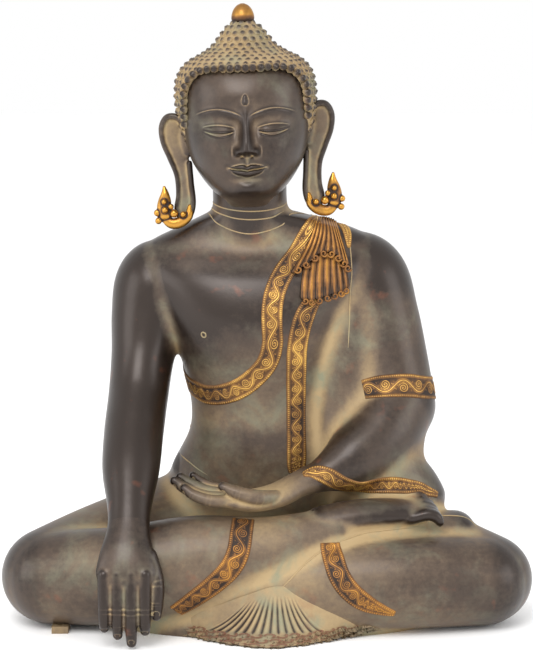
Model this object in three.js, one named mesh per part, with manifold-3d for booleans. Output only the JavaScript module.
// A seated bronze figure in the earth-touching pose, built the way a foundry builds one this size:
// hollow castings joined over inner sleeves with dowel pins, solid hands on tenons, pinned ornaments,
// and a plate that closes the underside. Millimetres, +Z up, +X to the viewer's right, the face looks along -Y.
import * as THREE from "three";
import { mergeVertices } from "three/addons/utils/BufferGeometryUtils.js";
import Module from "manifold-3d";

const wasm = await Module();
wasm.setup();

// ---------------------------------------------------------------- driving dimensions
const KNEE_SPAN = 521; // overall width, knee to knee
const FIGURE_HEIGHT = 608; // ground to the top of the crown jewel
const WALL = 5; // wall of the hollow castings
const GAP = 0.3; // clearance between pieces that touch
const SLEEVE_WALL = 3; // inner joint sleeves
const SLEEVE_HEIGHT = 26;
const PIN_R = 2.5; // dowel pins of the joints
const PIN_RISE = 7; // how far from the joint they sit
const PIN_FLUSH = 0.8; // how far a pin's outer end lies under the chased surface
const TENON_R = 8.5; // tenon that holds a hand
const TENON_LENGTH = 20;
const SOCKET_LENGTH = 26; // solid metal behind each wrist joint
const BORE_CLEARANCE = 0.3; // radial clearance of a tenon, tang or pin in its hole
const PLATE_THICKNESS = 2; // closing plate of the underside
const PLATE_RECESS = 3; // plate's underside above the ground
const SCREW_R = 2;
const SCREW_HEAD_R = 4.2;
const SCREW_LENGTH = 12;
const SCREW_HEAD_HEIGHT = 2;
const SCREW_ANGLES = [25, 65, 115, 155, 262, 282]; // round the seat, counted from +X towards +Y
const BOSS_R = 10; // bosses that take the plate's screws
const BOSS_HEIGHT = 16;
const LUG_LENGTH = 22; // hold-down lugs under the knees
const LUG_WIDTH = 16;
const LUG_THICKNESS = 7;
const LUG_HOLE_R = 3.2;
const TANG_R = 4; // tang of the crown jewel
const PEG_R = 1.8; // pegs of the earrings
const CASCADE_RISE = 7; // how proud the folded robe end stands on the shoulder
const CASCADE_BACK_Y = 24;
const SEAT_SQUARE = 2.4; // how squared the seat's outline is
const HEAD_TILT = THREE.MathUtils.degToRad(-2); // lean of the head towards the figure's right
const EVERYWHERE = 1000; // half size of the boxes that stand for half spaces

// The forms and places below are drawn for a figure 521 wide and 608 high. These turn a drawn place or
// size into the figure's own: `wide` for anything across or front to back, `high` for heights.
const wide = (length) => (length * KNEE_SPAN) / 521;
const high = (length) => (length * FIGURE_HEIGHT) / 608;
const thick = (radius) => radius * Math.sqrt(wide(1) * high(1));
const at = (x, y, z) => new THREE.Vector3(wide(x), wide(y), high(z));

const NECK_JOINT_Z = high(396); // where the head casting meets the torso casting
const ARM_JOINT_Z = high(246); // where the right arm casting meets the torso casting
const WAIST_JOINT_Z = high(186); // where the torso casting meets the legs casting
const LAP_JOINT_Z = high(126); // the same joint, lowered under the left sleeve
const LAP_JOINT_X = wide(33); // where the joint steps down, under the hanging robe border
const HEAD_PIVOT = at(-17, 12, 408); // the head leans about the top of the neck

// ---------------------------------------------------------------- materials
const BRONZE = { color: 0x4a3f37, roughness: 0.42, metalness: 0.85 };
const GILT = { color: 0xb8862f, roughness: 0.3, metalness: 1.0 };
const BRASS = { color: 0x9a7a3e, roughness: 0.4, metalness: 1.0 };
const COPPER = { color: 0x8a5a3c, roughness: 0.5, metalness: 0.9 };

// ---------------------------------------------------------------- solids from surfaces
// A closed mesh geometry becomes a solid: shared corners are merged first.
function solid(geometry) {
  const bare = new THREE.BufferGeometry().setAttribute("position", geometry.getAttribute("position"));
  if (geometry.index) bare.setIndex(geometry.index);
  const merged = mergeVertices(bare, 1e-4);
  return new wasm.Manifold(
    new wasm.Mesh({
      numProp: 3,
      vertProperties: new Float32Array(merged.attributes.position.array),
      triVerts: new Uint32Array(merged.index.array),
    }),
  );
}

// A solid becomes a named mesh with its material.
function piece(name, shape, look) {
  const { numProp, numVert, vertProperties, triVerts } = shape.getMesh();
  const points = new Float32Array(numVert * 3);
  for (let i = 0; i < numVert; i++) points.set(vertProperties.subarray(i * numProp, i * numProp + 3), i * 3);
  const geometry = new THREE.BufferGeometry();
  geometry.setAttribute("position", new THREE.BufferAttribute(points, 3));
  geometry.setIndex(new THREE.BufferAttribute(new Uint32Array(triVerts), 1));
  geometry.computeVertexNormals();
  const mesh = new THREE.Mesh(geometry, new THREE.MeshStandardMaterial(look));
  mesh.name = name;
  return mesh;
}

const union = (shapes) => shapes.reduce((sum, shape) => sum.add(shape));

function boxBetween([x0, y0, z0], [x1, y1, z1]) {
  const geometry = new THREE.BoxGeometry(x1 - x0, y1 - y0, z1 - z0);
  geometry.translate((x0 + x1) / 2, (y0 + y1) / 2, (z0 + z1) / 2);
  return solid(geometry);
}

// Everything on the side of the plane through `point` that `normal` points to.
function halfSpace(point, normal) {
  const geometry = new THREE.BoxGeometry(2 * EVERYWHERE, 2 * EVERYWHERE, EVERYWHERE);
  geometry.translate(0, 0, EVERYWHERE / 2);
  geometry.applyQuaternion(new THREE.Quaternion().setFromUnitVectors(new THREE.Vector3(0, 0, 1), normal));
  geometry.translate(point.x, point.y, point.z);
  return solid(geometry);
}

// A cylinder from one point to another.
function rod(from, to, radius, sides = 10) {
  const axis = to.clone().sub(from);
  const geometry = new THREE.CylinderGeometry(radius, radius, axis.length(), sides);
  geometry.applyQuaternion(
    new THREE.Quaternion().setFromUnitVectors(new THREE.Vector3(0, 1, 0), axis.clone().normalize()),
  );
  const middle = from.clone().add(to).multiplyScalar(0.5);
  geometry.translate(middle.x, middle.y, middle.z);
  return solid(geometry);
}

// Rings of points closed by one pole at each end.
function closedRings(rings, firstPole, lastPole) {
  const sides = rings[0].length;
  const points = [firstPole, ...rings.flat(), lastPole];
  const index = [];
  const at = (ring, side) => 1 + ring * sides + (side % sides);
  for (let side = 0; side < sides; side++) {
    index.push(0, at(0, side + 1), at(0, side));
    for (let ring = 0; ring + 1 < rings.length; ring++) {
      index.push(at(ring, side), at(ring, side + 1), at(ring + 1, side));
      index.push(at(ring + 1, side), at(ring, side + 1), at(ring + 1, side + 1));
    }
    index.push(points.length - 1, at(rings.length - 1, side), at(rings.length - 1, side + 1));
  }
  return new THREE.BufferGeometry().setFromPoints(points).setIndex(index);
}

// The row of numbers at t (0 to 1) on a smooth curve through evenly spaced rows.
function rowAt(rows, t) {
  const at = t * (rows.length - 1);
  const i = Math.min(Math.floor(at), rows.length - 2);
  const f = at - i;
  const before = rows[i - 1] ?? rows[i].map((v, k) => 2 * v - rows[i + 1][k]);
  const after = rows[i + 2] ?? rows[i + 1].map((v, k) => 2 * v - rows[i][k]);
  return rows[i].map((v, k) => {
    const [a, b, c, d] = [before[k], v, rows[i + 1][k], after[k]];
    return b + 0.5 * f * (c - a + f * (2 * a - 5 * b + 4 * c - d + f * (3 * (b - c) + d - a)));
  });
}

// A limb: an oval tube through stations [x, y, z, across, through] with round ends. `across` is the half
// width along the ring's level direction, `through` the half width square to it. `grow` swells it evenly.
function limb(stations, { level = new THREE.Vector3(0, 0, 1), grow = 0, sides = 16, rings = 12, cap = 3 } = {}) {
  const frameAt = (t) => {
    const [x, y, z, across, through] = rowAt(stations, t);
    const ahead = at(...rowAt(stations, Math.min(1, t + 0.01)));
    const behind = at(...rowAt(stations, Math.max(0, t - 0.01)));
    const tangent = ahead.sub(behind).normalize();
    const side = new THREE.Vector3().crossVectors(level, tangent).normalize();
    const over = new THREE.Vector3().crossVectors(tangent, side);
    return { centre: at(x, y, z), across: thick(across) + grow, through: thick(through) + grow, tangent, side, over };
  };
  const ringAt = (frame, shrink, shift) =>
    Array.from({ length: sides }, (_, k) => {
      const angle = (2 * Math.PI * k) / sides;
      return frame.centre
        .clone()
        .addScaledVector(frame.tangent, shift)
        .addScaledVector(frame.side, frame.across * shrink * Math.cos(angle))
        .addScaledVector(frame.over, frame.through * shrink * Math.sin(angle));
    });
  const end = (t, direction) => {
    const frame = frameAt(t);
    const reach = Math.min(frame.across, frame.through) * direction;
    const caps = [];
    for (let k = 1; k <= cap; k++) {
      const angle = (Math.PI / 2) * (k / (cap + 1));
      caps.push(ringAt(frame, Math.cos(angle), reach * Math.sin(angle)));
    }
    return { caps, pole: frame.centre.clone().addScaledVector(frame.tangent, reach) };
  };
  const first = end(0, -1);
  const last = end(1, 1);
  const body = Array.from({ length: rings }, (_, k) => ringAt(frameAt(k / (rings - 1)), 1, 0));
  return solid(closedRings([...first.caps.reverse(), ...body, ...last.caps], first.pole, last.pole));
}

// A trunk: level oval sections [z, x, y, half width, front depth, back depth], closed flat at both ends.
// `square` above 2 squares the ovals.
function trunk(sections, { grow = 0, sides = 24, rings = 16, square = 2.3 } = {}) {
  const bend = (value) => Math.sign(value) * Math.abs(value) ** (2 / square);
  const rowsOf = Array.from({ length: rings }, (_, k) => rowAt(sections, k / (rings - 1)));
  const ringOf = ([z, x, y, half, front, back]) =>
    Array.from({ length: sides }, (_, k) => {
      const angle = (2 * Math.PI * k) / sides;
      const depth = Math.sin(angle) < 0 ? front : back;
      const offset = [(wide(half) + grow) * bend(Math.cos(angle)), (wide(depth) + grow) * bend(Math.sin(angle))];
      return at(x, y, z).add(new THREE.Vector3(...offset, 0));
    });
  const pole = ([z, x, y], shift) => at(x, y, z).add(new THREE.Vector3(0, 0, shift));
  const bottom = pole(rowsOf[0], -Math.max(grow, 0) - 1);
  const top = pole(rowsOf[rings - 1], Math.max(grow, 0) + 1);
  return solid(closedRings(rowsOf.map(ringOf), bottom, top));
}

// ---------------------------------------------------------------- the body's forms
// Every list runs from one end of the form to the other, in millimetres.
const BELLY_Y = 22; // the trunk's own axis, front to back
const TORSO = [
  [58, 0, 40, 104, 62, 100],
  [96, 0, 38, 106, 66, 104],
  [134, -3, 30, 94, 62, 90],
  [172, -7, BELLY_Y, 72, 56, 62],
  [200, -8, BELLY_Y, 68, 54, 56],
  [232, -9, BELLY_Y, 73, 58, 58],
  [268, -10, BELLY_Y, 82, 66, 64],
  [300, -10, BELLY_Y, 96, 68, 68],
  [330, -9, BELLY_Y, 112, 60, 66],
  [350, -5, 24, 122, 48, 58],
  [366, -3, 26, 114, 38, 48],
  [381, -2, 24, 86, 34, 38],
  [396, -13, 20, 45, 36, 36],
];
const SHOULDER_SECTIONS = 2; // the hollow inside stops this many sections below the top
const SEAT = [
  [-24, 0, 30, 194, 158, 126],
  [10, 0, 30, 196, 160, 130],
  [40, 0, 32, 180, 140, 128],
  [66, 0, 40, 140, 96, 116],
  [90, 0, 46, 96, 60, 96],
];
const NECK = [
  [-15, 26, 364, 38, 36],
  [-16, 20, 386, 38, 36],
  [-16.5, 15, 406, 37, 36],
  [-17, 13, 430, 37, 38],
];
const RIGHT_ARM = [
  [-94, 30, 340, 34, 32],
  [-111, 30, 324, 41, 42],
  [-119, 24, 290, 38, 40],
  [-124.5, 12, 252, 32, 37],
  [-128, -10, 216, 30, 34],
  [-131, -42, 184, 29.5, 32],
  [-132, -78, 154, 28, 27],
  [-131.5, -108, 127, 22, 20],
  [-131.5, -128, 108, 20.5, 15],
  [-132, -146, 88, 26, 13],
  [-132, -156, 74, 29, 12],
  [-132, -160, 66, 27, 10],
];
const LEFT_UPPER_ARM = [
  [70, 30, 342, 34, 32],
  [98, 30, 330, 43, 42],
  [112, 24, 290, 42, 42],
  [122, 14, 246, 41, 42],
  [130, 2, 206, 40, 40],
];
const LEFT_ARM = [
  [132, 0, 204, 38, 40],
  [112, -26, 174, 36, 39],
  [82, -48, 156, 29, 31],
  [54, -61, 145, 18, 17],
  [34, -68, 139, 17, 12.5],
  [10, -77, 129, 22, 11],
  [-16, -83, 125, 26, 9.5],
  [-38, -84, 128, 25, 8.5],
];
const SLEEVE_WEB = [
  [80, 22, 320, 36, 36],
  [88, 14, 268, 44, 36],
  [90, 6, 212, 46, 34],
  [92, 0, 158, 48, 40],
];
const SLEEVE_FALL = [
  [128, 2, 186, 34, 34],
  [118, -12, 152, 42, 40],
  [122, -16, 112, 58, 44],
];
const RIGHT_THIGH = [
  [-58, 66, 66, 66, 62],
  [-110, 22, 63, 60, 55],
  [-166, -28, 57, 54, 49],
  [-213, -72, 47, 48, 47],
];
const LEFT_THIGH = [
  [58, 66, 66, 66, 62],
  [110, 22, 63, 60, 56],
  [166, -28, 54, 52, 47],
  [216, -74, 44, 47, 44],
];
const RIGHT_SHIN = [
  [-210, -78, 47, 46, 46],
  [-140, -98, 54, 42, 48],
  [-64, -100, 66, 40, 48],
  [6, -98, 80, 34, 33],
  [66, -88, 99, 24, 20],
];
const RIGHT_FOOT = [
  [54, -90, 104, 20, 17],
  [90, -84, 111, 22, 15],
  [126, -76, 112, 24, 12.5],
  [154, -68, 111, 20, 10],
];
const LEFT_SHIN = [
  [212, -80, 44, 45, 44],
  [136, -100, 48, 42, 45],
  [62, -102, 44, 38, 44],
  [-14, -98, 38, 36, 38],
  [-84, -86, 34, 34, 34],
];
const BUTTOCKS = [
  [-54, 84, 58, 66, 58],
  [0, 96, 60, 66, 60],
  [54, 84, 58, 66, 58],
];

const UP = new THREE.Vector3(0, 0, 1);
const BACK = new THREE.Vector3(0, 1, 0);
const RIGHT_WRIST = at(-131.5, -125, 111);
const TO_RIGHT_FINGERS = new THREE.Vector3(0, -0.7, -0.71).normalize();
const LEFT_WRIST = at(44, -64, 142);
const TO_LEFT_FINGERS = new THREE.Vector3(-0.86, -0.34, -0.38).normalize();

// The half space on the arm's side of a wrist, moved back by `shift` from the joint.
const beforeWrist = (wrist, direction, shift = 0) =>
  halfSpace(wrist.clone().addScaledVector(direction, -shift), direction.clone().negate());

// The arms down to the wrists. Their hollows stop short of the wrists, where the tenons are held.
function rightArmForm(grow) {
  const hollow = grow <= -WALL;
  const socket = hollow ? SOCKET_LENGTH : 0;
  return limb(RIGHT_ARM, { level: BACK, grow, sides: hollow ? 10 : 14, rings: hollow ? 12 : 18 }).intersect(
    beforeWrist(RIGHT_WRIST, TO_RIGHT_FINGERS, socket),
  );
}

function leftArmForm(grow, sides) {
  const socket = grow <= -WALL ? SOCKET_LENGTH : 0;
  return limb(LEFT_ARM, { grow, sides, rings: 12 }).intersect(beforeWrist(LEFT_WRIST, TO_LEFT_FINGERS, socket));
}

// The forms of the body without the right arm, swollen by `grow`. The hollow is drawn with fewer facets.
function coreForms(grow) {
  const hollow = grow <= -WALL;
  const sides = hollow ? 10 : 14;
  const rings = (count) => (hollow ? Math.ceil(0.65 * count) : count);
  const upright = { level: BACK, grow, sides };
  const lying = { grow, sides };
  return {
    torso: trunk(hollow ? TORSO.slice(0, -SHOULDER_SECTIONS) : TORSO, { grow, sides: sides + 6, rings: rings(15) }),
    seat: trunk(SEAT, { grow, sides: sides + 6, rings: rings(7), square: SEAT_SQUARE }),
    neck: limb(NECK, { ...upright, rings: rings(5) }),
    leftUpperArm: limb(LEFT_UPPER_ARM, { ...upright, rings: rings(8) }),
    leftArm: leftArmForm(grow, sides),
    sleeveWeb: limb(SLEEVE_WEB, { ...upright, rings: rings(6) }),
    sleeveFall: limb(SLEEVE_FALL, { ...upright, rings: rings(4) }),
    rightThigh: limb(RIGHT_THIGH, { ...lying, rings: rings(7) }),
    leftThigh: limb(LEFT_THIGH, { ...lying, rings: rings(7) }),
    rightShin: limb(RIGHT_SHIN, { ...lying, rings: rings(9) }),
    leftShin: limb(LEFT_SHIN, { ...lying, rings: rings(9) }),
    rightFoot: limb(RIGHT_FOOT, { ...lying, rings: rings(5) }),
    buttocks: limb(BUTTOCKS, { ...lying, rings: rings(4) }),
  };
}
const coreForm = (grow) => union(Object.values(coreForms(grow)));

// ---------------------------------------------------------------- the head's forms, upright
const HEAD_X = -17;
const HEAD_Y = 12;
const FACE = [
  [398, HEAD_X, HEAD_Y, 28, 20, 30],
  [411, HEAD_X, HEAD_Y, 26, 44, 34],
  [420, HEAD_X, HEAD_Y, 35, 57, 44],
  [434, HEAD_X, HEAD_Y, 46, 62, 56],
  [452, HEAD_X, HEAD_Y, 56, 64, 66],
  [472, HEAD_X, HEAD_Y, 61, 65, 73],
  [494, HEAD_X, HEAD_Y, 62.5, 65, 76],
  [516, HEAD_X, HEAD_Y, 63, 65, 76],
  [534, HEAD_X, HEAD_Y, 60, 59, 72],
  [548, HEAD_X, HEAD_Y, 50, 46, 60],
  [556, HEAD_X, HEAD_Y, 36, 32, 44],
];
const HAIR = [
  [448, HEAD_X, 18, 48, 30, 60],
  [468, HEAD_X, 15, 62, 44, 74],
  [490, HEAD_X, HEAD_Y, 69, 56, 82],
  [510, HEAD_X, HEAD_Y, 71.5, 64, 84],
  [528, HEAD_X, HEAD_Y, 70.5, 67, 82],
  [542, HEAD_X, HEAD_Y, 65, 62, 76],
  [553, HEAD_X, HEAD_Y, 55, 50, 62],
  [562, HEAD_X, 13, 40, 36, 42],
  [572, HEAD_X, 13, 29, 27, 29],
  [580, HEAD_X, 13, 19, 18, 19],
  [585, HEAD_X, 13, 12, 12, 12],
];
const NOSE = [
  [HEAD_X, -49, 500, 5, 6],
  [HEAD_X, -53, 484, 6, 7],
  [HEAD_X, -56, 471, 9, 8],
];
const HAIRLINE_HALF_WIDTH = 61;
const HAIRLINE_TOP = 538;
const HAIRLINE_CORNER = 26; // radius of the hairline's corners
const HAIRLINE_DEPTH = -8; // the hair starts behind this at the sides
const EAR = [
  [74, 13, 488, 9, 10],
  [73, 12, 474, 11, 13],
  [66, 11, 454, 8, 9],
  [63, 10, 432, 7.5, 6],
  [63, 9, 412, 7.5, 5.5],
  [66, 8, 402, 8, 5],
];
const EAR_LIFT = 4; // the left ear is set this much higher, the right one as much lower
const EARRING_HOOK = [
  [61, 7, 400, 5, 4],
  [66, 7, 393, 6, 4],
  [76, 7, 391, 6, 4],
  [84, 7, 399, 5, 4],
];
const EARRING_FINIAL = [
  [84, 7, 404, 7.5, 6],
  [84, 7, 413, 7, 6],
  [83, 7, 422, 5, 5],
  [83, 7, 429, 2.5, 2.5],
];
const SMALL = { sides: 7, rings: 5, cap: 2 };

// The stations of a form beside the head, on one side (1 or -1).
const beside = (stations, side) =>
  stations.map(([x, y, z, across, through]) => [HEAD_X + side * x, y, z + side * EAR_LIFT, across, through]);

const earForm = (side, grow = 0) => limb(beside(EAR, side), { level: BACK, sides: 10, rings: 10, cap: 2, grow });

// The hair's form without the part in front of the face.
function hairForm() {
  const [w, top, r] = [wide(HAIRLINE_HALF_WIDTH), high(HAIRLINE_TOP), HAIRLINE_CORNER];
  const opening = new THREE.Shape();
  opening.moveTo(-w, 0);
  opening.lineTo(w, 0);
  opening.lineTo(w, top - r);
  opening.absarc(w - r, top - r, r, 0, Math.PI / 2);
  opening.absarc(r - w, top - r, r, Math.PI / 2, Math.PI);
  const face = new THREE.ExtrudeGeometry(opening, { depth: EVERYWHERE, bevelEnabled: false, curveSegments: 5 });
  face.rotateX(Math.PI / 2);
  face.translate(wide(HEAD_X), wide(HAIRLINE_DEPTH), 0);
  return trunk(HAIR, { sides: 20, rings: 14 }).subtract(solid(face));
}

// Leans a solid of the head about the top of the neck.
function leaned(shape) {
  const { x, y, z } = HEAD_PIVOT;
  return shape.translate([-x, -y, -z]).rotate([0, THREE.MathUtils.radToDeg(HEAD_TILT), 0]).translate([x, y, z]);
}

// ---------------------------------------------------------------- the hands' forms
// Fingers run from the knuckle to the tip.
function hangingFinger(x, tip, radius) {
  return [
    [x, -158, 70, radius + 0.6, radius + 0.6],
    [x, -165, 40, radius, radius],
    [x, -165, (40 + tip) / 2, radius - 0.4, radius - 0.4],
    [x, -162, tip + radius, radius - 1.2, radius - 1.4],
  ];
}
const RIGHT_FINGERS = [
  hangingFinger(-153, 15, 5.6),
  hangingFinger(-140.5, 8, 6),
  hangingFinger(-127.5, 0.4, 6.2),
  hangingFinger(-114.5, 12, 6),
  [
    [-112, -146, 86, 9, 8],
    [-103.5, -154, 64, 7, 7],
    [-103, -158, 44, 6, 6],
    [-104, -159, 32, 5, 5],
  ],
];
const LEFT_FINGERS = [
  [
    [-36, -102, 129, 6.6, 6.4],
    [-54, -104, 130, 6.2, 6],
    [-70, -102, 135, 5.6, 5.4],
    [-79, -99, 141, 4.6, 4.4],
  ],
  [
    [-36, -90, 129, 6.8, 6.6],
    [-58, -92, 131, 6.4, 6.2],
    [-77, -91, 138, 5.8, 5.6],
    [-89, -89, 146, 4.8, 4.6],
  ],
  [
    [-36, -77, 130, 6.6, 6.4],
    [-56, -79, 133, 6.2, 6],
    [-73, -78, 140, 5.6, 5.4],
    [-84, -77, 147, 4.6, 4.4],
  ],
  [
    [-34, -65, 131, 5.8, 5.6],
    [-50, -67, 134, 5.4, 5.2],
    [-63, -67, 140, 4.8, 4.6],
    [-72, -66, 146, 4, 3.8],
  ],
  [
    [16, -92, 131, 8, 8],
    [-6, -104, 133, 8, 7.5],
    [-26, -107, 138, 7, 6.5],
    [-42, -104, 144, 5.4, 4.6],
  ],
];

// ---------------------------------------------------------------- the cloth's forms
// The folded robe end on the left shoulder: outline seen from the front, [x, z].
const CASCADE = [
  [47, 402],
  [70, 402],
  [80, 352],
  [86, 322],
  [62, 314],
  [40, 318],
  [28, 340],
  [44, 362],
  [50, 380],
];
// The pleated cloth spread in front of the crossed shins: where its hem stands on the ground, [x, y].
const HEM = [
  [-112, -96],
  [-86, -112],
  [-58, -132],
  [-30, -156],
  [0, -164],
  [24, -160],
  [54, -134],
  [82, -112],
  [106, -100],
];
const FAN_APEX = [13, -122, 58];
const FAN_PLEATS = 11;
const PLEAT_DEPTH = 2.2;
const FAN_BACK_Y = -84;
const HEM_RADIUS = 5;

// One ring of the fan: its front edge at `down` (0 apex, 1 hem), then back again behind.
function fanRing(down) {
  const columns = 4 * FAN_PLEATS;
  const front = Array.from({ length: columns + 1 }, (_, k) => {
    const [x, y] = rowAt(HEM, k / columns);
    const pleat = PLEAT_DEPTH * down * Math.cos((2 * Math.PI * FAN_PLEATS * k) / columns);
    const belly = 7 * Math.sin(Math.PI * down);
    const [ax, ay, az] = FAN_APEX;
    return at(ax + (x - ax) * down, ay + (y - ay) * down - pleat - belly, az * (1 - down));
  });
  const back = [front.at(-1), front[0]].map((p) => new THREE.Vector3(p.x, wide(FAN_BACK_Y), p.z));
  return [...front, ...back].reverse();
}

function fanForm() {
  const rings = [0.08, 0.3, 0.5, 0.7, 0.86, 1].map(fanRing);
  const fan = solid(closedRings(rings, at(...FAN_APEX), at(0, -115, -1)));
  const hem = HEM.map(([x, y]) => [x, y - 1, 1, HEM_RADIUS, HEM_RADIUS]);
  return fan.add(limb(hem, { sides: 8, rings: 22, cap: 2 }));
}

// ---------------------------------------------------------------- shells
const above = (z) => halfSpace(new THREE.Vector3(0, 0, z), UP);
const rightOf = (x) => halfSpace(new THREE.Vector3(x, 0, 0), new THREE.Vector3(1, 0, 0));
const slab = (low, high) => boxBetween([-EVERYWHERE, -EVERYWHERE, low], [EVERYWHERE, EVERYWHERE, high]);

const core = coreForm(0);
const hollow = coreForm(-WALL);
const clearOfCore = coreForm(GAP);
const ground = above(0);

// Everything above the stepped joint between the torso and the legs.
const aboveLap = (shift) =>
  above(WAIST_JOINT_Z + shift).add(above(LAP_JOINT_Z + shift).intersect(rightOf(LAP_JOINT_X + shift)));

// A dowel: from just inside the joint sleeve to just under the chased surface, along `direction`.
function dowel(from, height, direction, outer, inner) {
  const start = at(...from).setZ(height);
  const end = start.clone().addScaledVector(new THREE.Vector3(...direction).normalize(), 200);
  return {
    pin: rod(start, end, PIN_R).intersect(outer).subtract(inner),
    hole: rod(start, end, PIN_R + BORE_CLEARANCE),
  };
}

const bores = (holes) => union(holes.map(({ hole }) => hole));

// ---------------------------------------------------------------- joint sleeves and dowels
// A sleeve follows the hollow of one form, held by its dowels.
const outerFace = coreForms(-WALL - GAP);
const innerFace = coreForms(-WALL - GAP - SLEEVE_WALL);
const behindPins = coreForms(-WALL - GAP - SLEEVE_WALL - 1);
const HALF_SLEEVE = SLEEVE_HEIGHT / 2;
const flush = coreForm(-PIN_FLUSH);

const neckSleeve = outerFace.neck
  .subtract(innerFace.neck)
  .intersect(slab(NECK_JOINT_Z - HALF_SLEEVE, NECK_JOINT_Z + HALF_SLEEVE));
const neckPins = [[1, 0.4, 0], [-1, 0.4, 0], [0, 1, 0]].map((way) =>
  dowel([-16, 18, 0], NECK_JOINT_Z - PIN_RISE, way, flush, behindPins.neck),
);
const armSleeve = rightArmForm(-WALL - GAP)
  .subtract(rightArmForm(-WALL - GAP - SLEEVE_WALL))
  .intersect(slab(ARM_JOINT_Z - HALF_SLEEVE, ARM_JOINT_Z + HALF_SLEEVE));
const armPins = [[-1, 0, PIN_RISE], [-1, 0, -PIN_RISE], [0, 1, PIN_RISE], [0, 1, -PIN_RISE]].map(([x, y, rise]) =>
  dowel(
    [-124, 5, 0],
    ARM_JOINT_Z + rise,
    [x, y, 0],
    rightArmForm(-PIN_FLUSH),
    rightArmForm(-WALL - GAP - SLEEVE_WALL - 1),
  ),
);
const waistSleeve = outerFace.torso
  .subtract(innerFace.torso)
  .intersect(slab(WAIST_JOINT_Z - HALF_SLEEVE, WAIST_JOINT_Z + HALF_SLEEVE))
  .subtract(rightOf(LAP_JOINT_X - 8));
const waistPins = [[-1, 0, PIN_RISE], [-1, 0, -PIN_RISE], [0, 1, PIN_RISE], [0, 1, -PIN_RISE], [-0.4, -1, PIN_RISE]].map(([x, y, rise]) =>
  dowel([-8, BELLY_Y, 0], WAIST_JOINT_Z + rise, [x, y, 0], flush, behindPins.torso),
);

// ---------------------------------------------------------------- hands
const tenonOf = (wrist, direction, radius, length) =>
  rod(wrist.clone().addScaledVector(direction, 2), wrist.clone().addScaledVector(direction, -length), radius, 16);

function hand(stations, level, fingers, wrist, direction) {
  const palm = limb(stations, { level, sides: 14, rings: 18 }).intersect(
    halfSpace(wrist.clone().addScaledVector(direction, GAP), direction),
  );
  const digits = fingers.map((finger) => limb(finger, { ...SMALL, level }));
  return union([palm, ...digits])
    .subtract(clearOfCore)
    .add(tenonOf(wrist, direction, TENON_R, TENON_LENGTH));
}
const socketOf = (wrist, direction) =>
  tenonOf(wrist, direction, TENON_R + BORE_CLEARANCE, TENON_LENGTH + BORE_CLEARANCE);
const rightSocket = socketOf(RIGHT_WRIST, TO_RIGHT_FINGERS);
const leftSocket = socketOf(LEFT_WRIST, TO_LEFT_FINGERS);

// ---------------------------------------------------------------- torso, right arm, legs
const armStub = rightArmForm(0).intersect(above(ARM_JOINT_Z + GAP / 2));
const torso = core
  .add(armStub)
  .subtract(hollow)
  .subtract(rightArmForm(-WALL))
  .intersect(aboveLap(GAP / 2))
  .subtract(above(NECK_JOINT_Z - GAP / 2))
  .subtract(leftSocket)
  .subtract(bores([...neckPins, ...armPins, ...waistPins]));
const rightArm = rightArmForm(0)
  .subtract(rightArmForm(-WALL))
  .subtract(above(ARM_JOINT_Z - GAP / 2))
  .subtract(rightSocket)
  .subtract(bores(armPins));
const legs = core
  .subtract(hollow)
  .subtract(limb(RIGHT_ARM, { level: BACK, sides: 14, rings: 18, grow: GAP }))
  .intersect(ground)
  .subtract(aboveLap(-GAP / 2))
  .subtract(bores(waistPins));

// ---------------------------------------------------------------- head
const headSkin = leaned(
  union([trunk(FACE, { sides: 20, rings: 13 }), hairForm(), limb(NOSE, SMALL), earForm(-1), earForm(1)]),
).add(coreForms(0).neck.intersect(above(NECK_JOINT_Z + GAP / 2)));
const headHollow = leaned(trunk(FACE, { grow: -WALL, sides: 14, rings: 9 })).add(coreForms(-WALL).neck);
const jewelAxis = [at(HEAD_X, 13, 560), at(HEAD_X, 13, 590)];
const pegAxis = (side) => [
  at(HEAD_X + side * 82, 8, 402 + side * EAR_LIFT),
  at(HEAD_X + side * 62, 8, 406 + side * EAR_LIFT),
];
const head = headSkin
  .subtract(headHollow)
  .subtract(leaned(rod(...jewelAxis, TANG_R + BORE_CLEARANCE)))
  .subtract(leaned(union([-1, 1].map((side) => rod(...pegAxis(side), PEG_R + BORE_CLEARANCE)))));

// The jewel: a lotus-bud knob with a round tang, on the flat top of the hair.
const JEWEL_PROFILE = [
  [0, 0],
  [10.5, 0],
  [12, 2.6],
  [11.5, 7.6],
  [8.5, 13.6],
  [4, 18.6],
  [0, 21.6],
];
function jewelForm() {
  const knob = new THREE.LatheGeometry(JEWEL_PROFILE.map(([r, z]) => new THREE.Vector2(r, z)), 18);
  knob.rotateX(Math.PI / 2);
  knob.translate(wide(HEAD_X), wide(13), high(HAIR.at(-1)[0]) + 1 + GAP);
  const [foot, head] = jewelAxis;
  return solid(knob).add(rod(foot.clone().setZ(foot.z + 2), head, TANG_R, 12));
}

function earringForm(side) {
  const hook = limb(beside(EARRING_HOOK, side), { ...SMALL, level: BACK });
  const finial = limb(beside(EARRING_FINIAL, side), { ...SMALL, level: BACK });
  const [out, lobe] = pegAxis(side);
  return hook.add(finial).subtract(earForm(side, GAP)).add(rod(out, lobe.lerp(out, 0.15), PEG_R));
}

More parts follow.
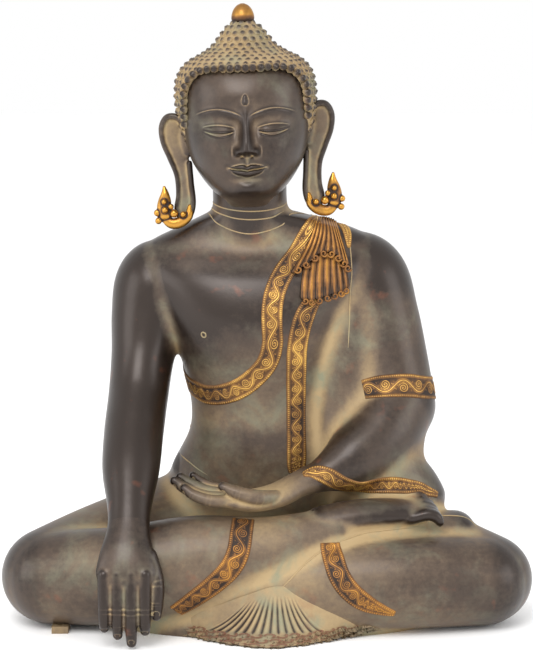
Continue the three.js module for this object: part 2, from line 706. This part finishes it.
// ---------------------------------------------------------------- applied cloth
function cascadeForm() {
  const outline = new THREE.Shape(CASCADE.map(([x, z]) => new THREE.Vector2(wide(x), high(z))));
  const prism = new THREE.ExtrudeGeometry(outline, { depth: EVERYWHERE, bevelEnabled: false });
  prism.rotateX(Math.PI / 2);
  prism.translate(0, wide(CASCADE_BACK_Y), 0);
  const hook = leaned(limb(beside(EARRING_HOOK, 1), { ...SMALL, level: BACK, grow: GAP }));
  return coreForm(CASCADE_RISE).subtract(clearOfCore).intersect(solid(prism)).subtract(hook);
}
const fan = fanForm().intersect(ground).subtract(clearOfCore);

// ---------------------------------------------------------------- underside
// The closing plate lies on bosses cast on the inside of the rim.
const seatAt = (angle, inset) => {
  const [, x, y, half, front, back] = SEAT[1];
  const bend = (value) => Math.sign(value) * Math.abs(value) ** (2 / SEAT_SQUARE);
  const depth = Math.sin(angle) < 0 ? front : back;
  return [
    wide(x) + (wide(half) - inset) * bend(Math.cos(angle)),
    wide(y) + (wide(depth) - inset) * bend(Math.sin(angle)),
  ];
};
const screwSpots = SCREW_ANGLES.map((angle) => seatAt(THREE.MathUtils.degToRad(angle), WALL + BOSS_R - 1));
const upright = ([x, y], low, high, radius, sides) =>
  rod(new THREE.Vector3(x, y, low), new THREE.Vector3(x, y, high), radius, sides);
const PLATE_TOP = PLATE_RECESS + PLATE_THICKNESS;
const bosses = union(screwSpots.map((spot) => upright(spot, PLATE_TOP + GAP, PLATE_TOP + BOSS_HEIGHT, BOSS_R, 14)));
const screwHoles = union(screwSpots.map((spot) => upright(spot, 0, PLATE_TOP + SCREW_LENGTH + 1, SCREW_R + GAP, 10)));
const opening = coreForm(-WALL - GAP - 0.2);
const plate = opening
  .intersect(opening.translate([0, 0, PLATE_RECESS]))
  .intersect(slab(PLATE_RECESS, PLATE_TOP))
  .subtract(screwHoles);
function screwForm(spot) {
  const headLow = PLATE_RECESS - GAP - SCREW_HEAD_HEIGHT;
  const shank = upright(spot, headLow + 1, PLATE_TOP + SCREW_LENGTH, SCREW_R, 10);
  return upright(spot, headLow, PLATE_RECESS - GAP, SCREW_HEAD_R, 12).add(shank);
}

// A flat hold-down lug under the right knee, with a hole for a ground screw.
const LUG_X = wide(-200);
const LUG_FRONT_Y = wide(-113);
const lug = boxBetween(
  [LUG_X - LUG_WIDTH / 2, LUG_FRONT_Y, 0],
  [LUG_X + LUG_WIDTH / 2, LUG_FRONT_Y + LUG_LENGTH, LUG_THICKNESS],
)
  .subtract(upright([LUG_X, LUG_FRONT_Y + LUG_WIDTH / 2], -1, LUG_THICKNESS + 1, LUG_HOLE_R, 16))
  .subtract(clearOfCore);

// ---------------------------------------------------------------- assembly
const parts = [
  ["torso_casting", torso, BRONZE],
  ["legs_casting", legs.add(bosses.intersect(core)).subtract(screwHoles), BRONZE],
  ["right_arm_casting", rightArm, BRONZE],
  ["right_hand_casting", hand(RIGHT_ARM, BACK, RIGHT_FINGERS, RIGHT_WRIST, TO_RIGHT_FINGERS), BRONZE],
  ["left_hand_casting", hand(LEFT_ARM, UP, LEFT_FINGERS, LEFT_WRIST, TO_LEFT_FINGERS), BRONZE],
  ["head_casting", head, BRONZE],
  ["crown_jewel", leaned(jewelForm()), GILT],
  ["right_earring", leaned(earringForm(-1)), GILT],
  ["left_earring", leaned(earringForm(1)), GILT],
  ["robe_cascade", cascadeForm(), GILT],
  ["robe_fan", fan, BRONZE],
  ["neck_sleeve", neckSleeve.subtract(bores(neckPins)), BRASS],
  ["arm_sleeve", armSleeve.subtract(bores(armPins)), BRASS],
  ["waist_sleeve", waistSleeve.subtract(bores(waistPins)), BRASS],
  ["base_plate", plate, COPPER],
  ["knee_lug", lug, BRONZE],
];
for (const [name, pins] of Object.entries({ neck_pin: neckPins, arm_pin: armPins, waist_pin: waistPins }))
  pins.forEach(({ pin }, k) => parts.push([name + "_" + (k + 1), pin, COPPER]));
screwSpots.forEach((spot, k) => parts.push(["plate_screw_" + (k + 1), screwForm(spot), BRASS]));

const root = new THREE.Group();
for (const [name, shape, look] of parts) root.add(piece(name, shape, look));
const bounds = new THREE.Box3().setFromObject(root);
const middle = bounds.getCenter(new THREE.Vector3());
root.position.set(-middle.x, -middle.y, -bounds.min.z);

export default root;
